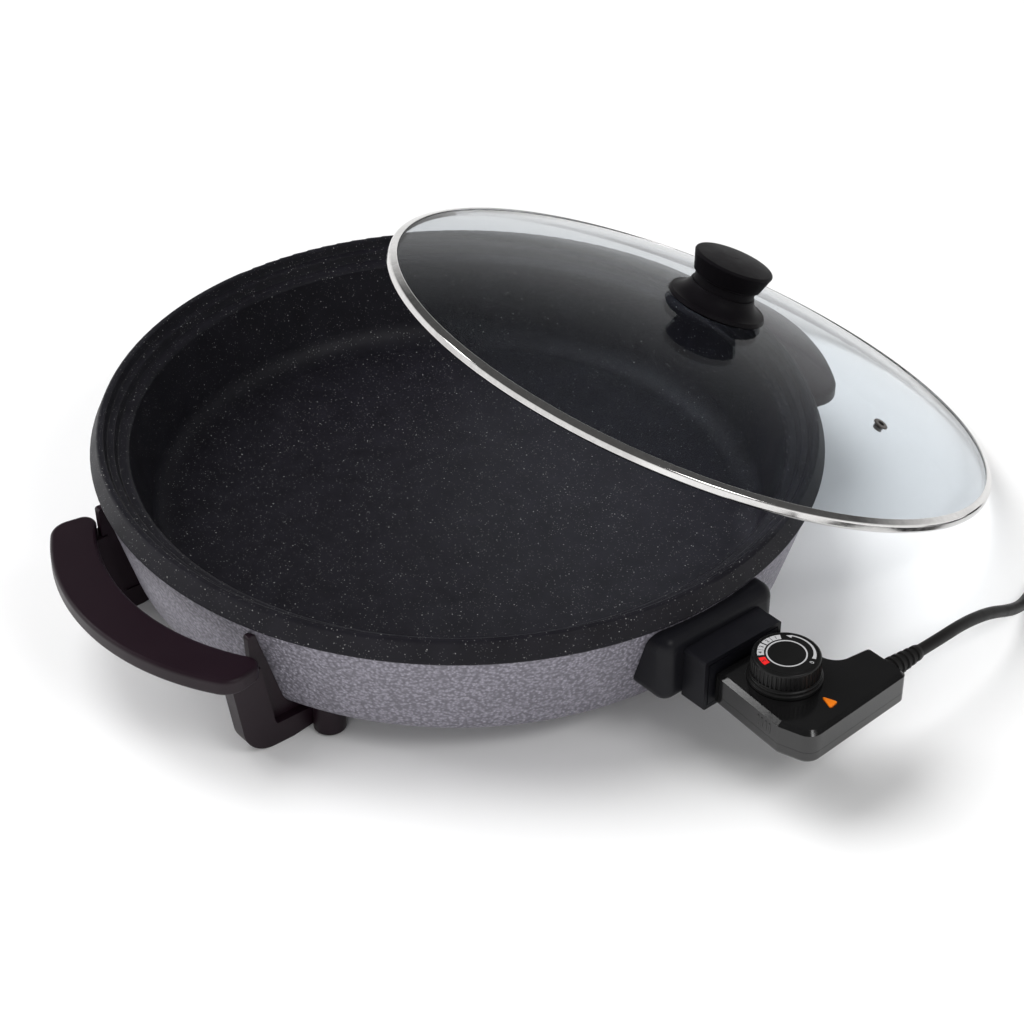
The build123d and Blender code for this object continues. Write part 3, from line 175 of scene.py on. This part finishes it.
def clear(name, tint, rough, transmission=1.0, ior=1.47):
    """Clear glass or plastic with faint smears."""
    mat, tree, shader, coords = new_material(name)
    shader.inputs["Base Color"].default_value = rgba(tint)
    shader.inputs["Transmission Weight"].default_value = transmission
    shader.inputs["IOR"].default_value = ior
    smear = noise(tree, coords, 18.0, 4.0)
    tree.links.new(ramp(tree, smear, (0.35, rough), (0.75, rough + 0.02)), shader.inputs["Roughness"])
    return mat


def printed(name, colour):
    """Ink on the dial, slightly uneven."""
    mat, tree, shader, coords = new_material(name)
    cloud = noise(tree, coords, 1500.0, 3.0)
    faded = tuple(c * 0.88 for c in colour)
    tree.links.new(ramp(tree, cloud, (0.3, faded), (0.7, colour)), shader.inputs["Base Color"])
    shader.inputs["Roughness"].default_value = 0.45
    return mat


LID_IOR = 1.12    # below that of glass, to keep the lid's reflections faint

pan_coat = speckled("speckled_coating")
body_paint = hammertone("hammered_paint")
bakelite = moulded("handle_plastic", (0.0108, 0.0048, 0.0082), (0.0128, 0.0060, 0.0098),
                   0.38, 0.04, 1300.0, 0.00003)
knob_plastic = moulded("knob_plastic", (0.0050, 0.0044, 0.0054), (0.0066, 0.0058, 0.0070),
                       0.48, 0.05, 1300.0, 0.00003, 0.05)
socket_plastic = moulded("socket_plastic", (0.0055, 0.0055, 0.0075), (0.0080, 0.0080, 0.0104),
                         0.40, shine=0.17)
control_gloss = moulded("control_plastic", (0.0045, 0.0045, 0.0047), (0.0060, 0.0058, 0.0060),
                        0.14, 0.04, 1500.0, 0.00001, 0.65)
dial_plastic = moulded("dial_plastic", (0.0055, 0.0055, 0.0056), (0.0080, 0.0078, 0.0078),
                       0.34, grain=1500.0)
cord_rubber = moulded("cord_rubber", (0.0075, 0.0072, 0.0072), (0.0110, 0.0106, 0.0106),
                      0.50, 0.08, 1800.0, 0.00003)
seal_rubber = moulded("seal_rubber", (0.010, 0.010, 0.010), (0.018, 0.018, 0.018), 0.6)
ceramic = moulded("ceramic", (0.70, 0.69, 0.65), (0.80, 0.79, 0.75), 0.25, shine=0.5)
lid_clear = clear("lid_glass_clear", (0.55, 0.578, 0.602), 0.0, ior=LID_IOR)
lamp_clear = clear("lamp_glass_clear", (0.95, 0.93, 0.9), 0.02)
lens_orange = clear("lens_orange_clear", (1.0, 0.25, 0.01), 0.16, 0.25)
band_steel = metal("polished_band", (0.62, 0.61, 0.60), (0.74, 0.73, 0.72), 0.12, 0.04)
plain_steel = metal("plain_steel", (0.50, 0.50, 0.49), (0.62, 0.62, 0.61), 0.30, 0.08)
element_steel = metal("element_steel", (0.14, 0.13, 0.125), (0.24, 0.22, 0.21), 0.48, 0.08)
brass = metal("brass", (0.58, 0.40, 0.16), (0.72, 0.52, 0.24), 0.30, 0.08)
aluminium = metal("aluminium", (0.60, 0.60, 0.60), (0.72, 0.72, 0.72), 0.33, 0.07)
ink_white = printed("ink_white", (0.46, 0.46, 0.47))
ink_red = printed("ink_red", (0.80, 0.012, 0.012))
ink_black = printed("ink_black", (0.03, 0.03, 0.032))

FINISH = {
    pan_coat: ["pan_shell"],
    body_paint: ["outer_body"],
    bakelite: ["handle_right", "handle_left"],
    knob_plastic: ["knob_skirt", "lid_knob"],
    socket_plastic: ["socket_base", "socket_shroud", "control_nose"],
    control_gloss: ["control_top_shell", "control_bottom_shell"],
    dial_plastic: ["dial_knob", "dial_face", "cord_clamp"],
    cord_rubber: ["strain_relief", "plug_body", "coil_tie", "cord_run", "cord_coil"],
    seal_rubber: ["knob_seal"],
    ceramic: ["ceramic_bushes", "contact_spacers"],
    lid_clear: ["lid_glass"],
    lamp_clear: ["neon_lamp"],
    lens_orange: ["indicator_lens"],
    band_steel: ["lid_band", "plug_pins", "plug_earth_clips"],
    element_steel: ["heating_element", "lid_vent"],
    plain_steel: ["terminal_pins", "socket_screws", "handle_screws", "knob_washer", "knob_screw",
                  "thermostat_frame", "shell_screws"],
    brass: ["receptacles", "lower_contact_leaf", "upper_contact_leaf", "dial_spindle"],
    aluminium: ["probe_sleeve", "temperature_probe"],
}
SHARP_ANGLE = math.radians(28)
for finish, names in FINISH.items():
    for node_name in names:
        mesh = nodes[node_name].data
        mesh.materials.clear()
        mesh.materials.append(finish)
        mesh.polygons.foreach_set("use_smooth", [True] * len(mesh.polygons))
        mesh.set_sharp_from_angle(angle=SHARP_ANGLE)

# Clear glass would cast a black shadow here
nodes["lid_glass"].visible_shadow = False


def place(obj, mat, body):
    """Links a piece, gives it its material and lets it ride on its body."""
    scene.collection.objects.link(obj)
    obj.data.materials.append(mat)
    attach(obj, body)
    return obj


def mesh_object(name, bm):
    """An object from a bmesh with its faces turned outwards."""
    bmesh.ops.recalc_face_normals(bm, faces=bm.faces)
    mesh = bpy.data.meshes.new(name)
    bm.to_mesh(mesh)
    bm.free()
    return bpy.data.objects.new(name, mesh)


# Mains lead: the route of the CAD's lead, then its coil, on one smooth spline, in millimetres

CORD_RADIUS = 3.5
COIL_CENTRE = (276.0, -276.0)
COIL_START = 110.0
COIL_RADIUS = 42.5
COIL_STEP = 7.5
COIL_LAYER = 2            # turns in each of the two layers
COIL_TURNS = 2 * COIL_LAYER
COIL_LOW_Z = 4.7
PLUG_Z = 18.6
POINTS_PER_TURN = 16
COIL_LEAD = 7.0           # straight run into the coil and out of it
COIL_APPROACH = 18.0


def ease(share):
    share = min(max(share, 0.0), 1.0)
    return share * share * (3 - 2 * share)


def coil_point(turns):
    """The lead's middle line: inwards on the floor, outwards above, then up to the plug."""
    inwards = min(turns, COIL_TURNS + 0.5 - turns)
    radius = COIL_RADIUS - inwards * COIL_STEP
    z = COIL_LOW_Z + COIL_STEP * ease((turns - COIL_LAYER) / 0.5)
    z += (PLUG_Z - COIL_LOW_Z - COIL_STEP) * ease((turns - COIL_TURNS + 0.25) / 0.25)
    angle = math.radians(COIL_START) - 2 * math.pi * turns
    x = COIL_CENTRE[0] + radius * math.cos(angle)
    y = COIL_CENTRE[1] + radius * math.sin(angle)
    return Vector((x, y, z))


def coil_heading(turns):
    return (coil_point(turns + 1e-4) - coil_point(turns - 1e-4)).normalized()


entry = coil_point(0) - coil_heading(0) * COIL_LEAD
leave = coil_point(COIL_TURNS) + coil_heading(COIL_TURNS) * COIL_LEAD
route = [
    (84.0, -283.0, 50.5), (102.0, -283.0, 50.5), (124.0, -280.0, 47.3), (150.0, -276.5, 39.0),
    (178.0, -270.0, 22.0), (203.0, -260.5, 7.6), (226.0, -250.5, 3.9),
    entry - coil_heading(0) * COIL_APPROACH, entry,
]
route += [coil_point(i / POINTS_PER_TURN) for i in range(COIL_TURNS * POINTS_PER_TURN + 1)]
route += [leave]


def nurbs(name, points, radius):
    """A round tube on one open NURBS spline, with points in millimetres."""
    curve = bpy.data.curves.new(name, "CURVE")
    curve.dimensions = "3D"
    spline = curve.splines.new("NURBS")
    spline.points.add(len(points) - 1)
    for point, (x, y, z) in zip(spline.points, points):
        point.co = (x * MM, y * MM, z * MM, 1.0)
    spline.order_u = 3
    spline.use_endpoint_u = True
    spline.resolution_u = 6
    curve.bevel_depth = radius * MM
    curve.bevel_resolution = 5
    curve.use_fill_caps = True
    return bpy.data.objects.new(name, curve)


lead = place(nurbs("mains_lead", route, CORD_RADIUS), cord_rubber, "control")
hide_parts("cord_run", "cord_coil")


# Dial print: a ring, five numbered blocks, a curved arrow and a nought, in millimetres and degrees

DIAL = Vector((0.0035, -0.2608, 0.0780))
PRINT = 0.00012           # height of the print, in metres
RING_IN, RING_OUT = 10.1, 10.9
BLOCK_IN, BLOCK_OUT = 11.9, 15.5
BLOCKS = ((58, 81), (82.5, 103), (107, 126.5), (128, 145.5), (153, 177))
ARROW_TAIL, ARROW_NECK, ARROW_TIP = -58.0, 34.0, 46.0
ARROW_STEPS = 28


def flat_piece(name, outline, mat):
    """A thin print from an outline of points about the dial's middle."""
    bm = bmesh.new()
    face = bm.faces.new([bm.verts.new((x * MM, y * MM, PRINT)) for x, y in outline])
    made = bmesh.ops.extrude_face_region(bm, geom=[face])
    low = [v for v in made["geom"] if isinstance(v, bmesh.types.BMVert)]
    bmesh.ops.translate(bm, verts=low, vec=(0, 0, -PRINT * 0.9))
    obj = mesh_object(name, bm)
    obj.location = DIAL
    return place(obj, mat, "dial")


def polar(radius, angle):
    a = math.radians(angle)
    return radius * math.cos(a), radius * math.sin(a)


def arc(radius, start, end, steps):
    return [polar(radius, start + (end - start) * i / steps) for i in range(steps + 1)]


def sector(inner, outer, start, end, steps=8):
    return arc(inner, start, end, steps) + arc(outer, end, start, steps)


def arrow_outline():
    """A bar that narrows towards its tail, with a pointed head."""
    outline = arc(15.4, ARROW_TAIL, ARROW_NECK, ARROW_STEPS)
    outline += [polar(15.6, ARROW_NECK), polar(14.8, ARROW_TIP), polar(13.2, ARROW_NECK)]
    for i in range(ARROW_STEPS + 1):
        share = i / ARROW_STEPS
        outline.append(polar(14.6 - 1.3 * share ** 3, ARROW_NECK + (ARROW_TAIL - ARROW_NECK) * share))
    return outline


def numeral(name, text, size, angle, radius, mat, lift):
    """A number that faces outwards, raised by a multiple of the print's height."""
    curve = bpy.data.curves.new(name, "FONT")
    curve.body = text
    curve.size = size * MM
    curve.align_x, curve.align_y = "CENTER", "CENTER"
    curve.extrude = PRINT * 0.4
    obj = bpy.data.objects.new(name, curve)
    x, y = polar(radius * MM, angle)
    obj.location = DIAL + Vector((x, y, PRINT * lift))
    obj.rotation_euler = (0, 0, math.radians(angle) - math.pi / 2)
    return place(obj, mat, "dial")


for half, (start, end) in {"a": (0.0, 180.0), "b": (180.0, 360.0)}.items():
    flat_piece(f"dial_ring_{half}", sector(RING_IN, RING_OUT, start, end, 48), ink_white)
for number, (start, end) in enumerate(BLOCKS, 1):
    ink = ink_red if number == len(BLOCKS) else ink_white
    flat_piece(f"dial_block_{number}", sector(BLOCK_IN, BLOCK_OUT, start, end), ink)
    numeral(f"dial_number_{number}", str(number), 3.2, (start + end) / 2, (BLOCK_IN + BLOCK_OUT) / 2,
            ink_black, 1.5)
flat_piece("dial_arrow", arrow_outline(), ink_white)
numeral("dial_number_0", "0", 3.4, -71, 14.2, ink_white, 0.6)


# Finger ribs on the control's left wall, in millimetres

WALL_FROM, WALL_TO = Vector((-21.5, -233.8, 0)), Vector((-25.7, -285.0, 0))
ALONG = (WALL_TO - WALL_FROM).normalized()
OUT = Vector((ALONG.y, -ALONG.x, 0))
RIBS = 4
RIB_FIRST, RIB_PITCH = 36.0, 3.0
RIB_LOW, RIB_HIGH = 51.0, 58.0
RIB_HALF_WIDTH = 0.7
RIB_HEIGHT = 0.5
RIB_ROOT = 0.05           # depth of its back inside the wall
RIB_END = 0.5             # length of a rounded end
RIB_POINTS = 9            # points of its half-round section


def rib(name, distance):
    """A low rounded bar on the wall, at a distance from the wall's start."""
    bm = bmesh.new()
    rings = []
    for z, grow in ((RIB_LOW, 0.2), (RIB_LOW + RIB_END, 1.0), (RIB_HIGH - RIB_END, 1.0), (RIB_HIGH, 0.2)):
        ring = []
        for i in range(RIB_POINTS):
            a = math.pi * i / (RIB_POINTS - 1)
            p = WALL_FROM + ALONG * (distance - RIB_HALF_WIDTH * math.cos(a))
            p += OUT * (RIB_HEIGHT * grow * math.sin(a) - RIB_ROOT)
            ring.append(bm.verts.new((p.x * MM, p.y * MM, z * MM)))
        rings.append(ring)
    for low, high in zip(rings, rings[1:]):
        for i in range(RIB_POINTS):
            j = (i + 1) % RIB_POINTS
            bm.faces.new((low[i], low[j], high[j], high[i]))
    bm.faces.new(rings[0])
    bm.faces.new(rings[-1])
    return place(mesh_object(name, bm), control_gloss, "control")


for i in range(RIBS):
    rib(f"control_rib_{i + 1}", RIB_FIRST + RIB_PITCH * i)


# Camera, from the pan's rim in the photograph

CAMERA_AT = (-0.847524, -1.01004, 1.000711)
CAMERA_RIGHT = Vector((0.754615, -0.656111, 0.008657))
CAMERA_UP = Vector((0.385348, 0.453804, 0.803473))
CAMERA_AHEAD = Vector((0.531096, 0.602977, -0.595278))

camera_data = bpy.data.cameras.new("camera")
camera_data.lens = 98.4375
camera_data.sensor_width = 36.0
camera_data.clip_end = 50.0
camera = bpy.data.objects.new("camera", camera_data)
turn = Matrix((CAMERA_RIGHT, CAMERA_UP, -CAMERA_AHEAD)).transposed()
camera.matrix_world = Matrix.Translation(CAMERA_AT) @ turn.to_4x4()
scene.collection.objects.link(camera)
scene.camera = camera


# Pale floor, soft lamps and an even sky

def floor_plane():
    bm = bmesh.new()
    bmesh.ops.create_grid(bm, x_segments=1, y_segments=1, size=12.0)
    mesh = bpy.data.meshes.new("floor")
    bm.to_mesh(mesh)
    bm.free()
    obj = bpy.data.objects.new("floor", mesh)
    obj.location.z = -0.0002
    scene.collection.objects.link(obj)
    mat, tree, shader, coords = new_material("pale_floor")
    shader.inputs["Base Color"].default_value = (0.92, 0.92, 0.92, 1.0)
    shader.inputs["Roughness"].default_value = 0.9
    shader.inputs["Specular IOR Level"].default_value = 0.1
    mesh.materials.append(mat)


def area_lamp(name, place_at, target, size, power, mirrored=True):
    """A soft lamp, which shiny surfaces may show or not."""
    data = bpy.data.lights.new(name, "AREA")
    data.shape = "RECTANGLE"
    data.size, data.size_y = size
    data.energy = power
    obj = bpy.data.objects.new(name, data)
    obj.location = place_at
    obj.rotation_euler = (Vector(target) - Vector(place_at)).to_track_quat("-Z", "Y").to_euler()
    obj.visible_glossy = mirrored
    obj.visible_transmission = False
    scene.collection.objects.link(obj)


def sun_lamp(heading, spread, strength):
    """Wide, soft sunlight from a heading, with no fall-off over the floor and no mirror image."""
    data = bpy.data.lights.new("sun", "SUN")
    data.angle = math.radians(spread)
    data.energy = strength
    obj = bpy.data.objects.new("sun", data)
    obj.rotation_euler = (-Vector(heading)).to_track_quat("-Z", "Y").to_euler()
    obj.visible_glossy = False
    scene.collection.objects.link(obj)


def sky(even, ceiling):
    """White to the camera and through glass, even as light, and dark overhead in reflections."""
    world = bpy.data.worlds.new("sky")
    scene.world = world
    world.use_nodes = True
    tree = world.node_tree
    white = tree.nodes["Background"]
    white.inputs["Color"].default_value = (1.0, 1.0, 1.0, 1.0)
    light = tree.nodes.new("ShaderNodeBackground")
    light.inputs["Strength"].default_value = even
    mirror = tree.nodes.new("ShaderNodeBackground")
    heading = tree.nodes.new("ShaderNodeSeparateXYZ")
    tree.links.new(tree.nodes.new("ShaderNodeTexCoord").outputs["Generated"], heading.inputs["Vector"])
    shade = ramp(tree, heading.outputs["Z"], (0.12, 1.0), (0.42, ceiling))
    tree.links.new(shade, mirror.inputs["Color"])
    rays = tree.nodes.new("ShaderNodeLightPath")
    through = tree.nodes.new("ShaderNodeMath")
    through.operation = "MAXIMUM"
    tree.links.new(rays.outputs["Is Camera Ray"], through.inputs[0])
    tree.links.new(rays.outputs["Is Transmission Ray"], through.inputs[1])
    result = light.outputs["Background"]
    for share, other in ((rays.outputs["Is Glossy Ray"], mirror), (through.outputs[0], white)):
        blend = tree.nodes.new("ShaderNodeMixShader")
        tree.links.new(share, blend.inputs["Fac"])
        tree.links.new(result, blend.inputs[1])
        tree.links.new(other.outputs["Background"], blend.inputs[2])
        result = blend.outputs["Shader"]
    tree.links.new(result, tree.nodes["World Output"].inputs["Surface"])


floor_plane()
sky(0.42, 0.10)
sun_lamp((-0.25, 0.58, 0.92), 48.0, 2.35)
area_lamp("front", (0.1, -1.6, 1.75), (0.05, -0.25, 0.05), (1.1, 0.6), 12.0)
area_lamp("left", (-1.7, -1.1, 0.9), (-0.1, 0, 0.05), (0.9, 0.9), 8.0, False)
area_lamp("rear", (-1.3, 1.45, 1.2), (0.0, -0.28, 0.06), (0.5, 0.5), 6.0)
scene.view_settings.view_transform = "Standard"
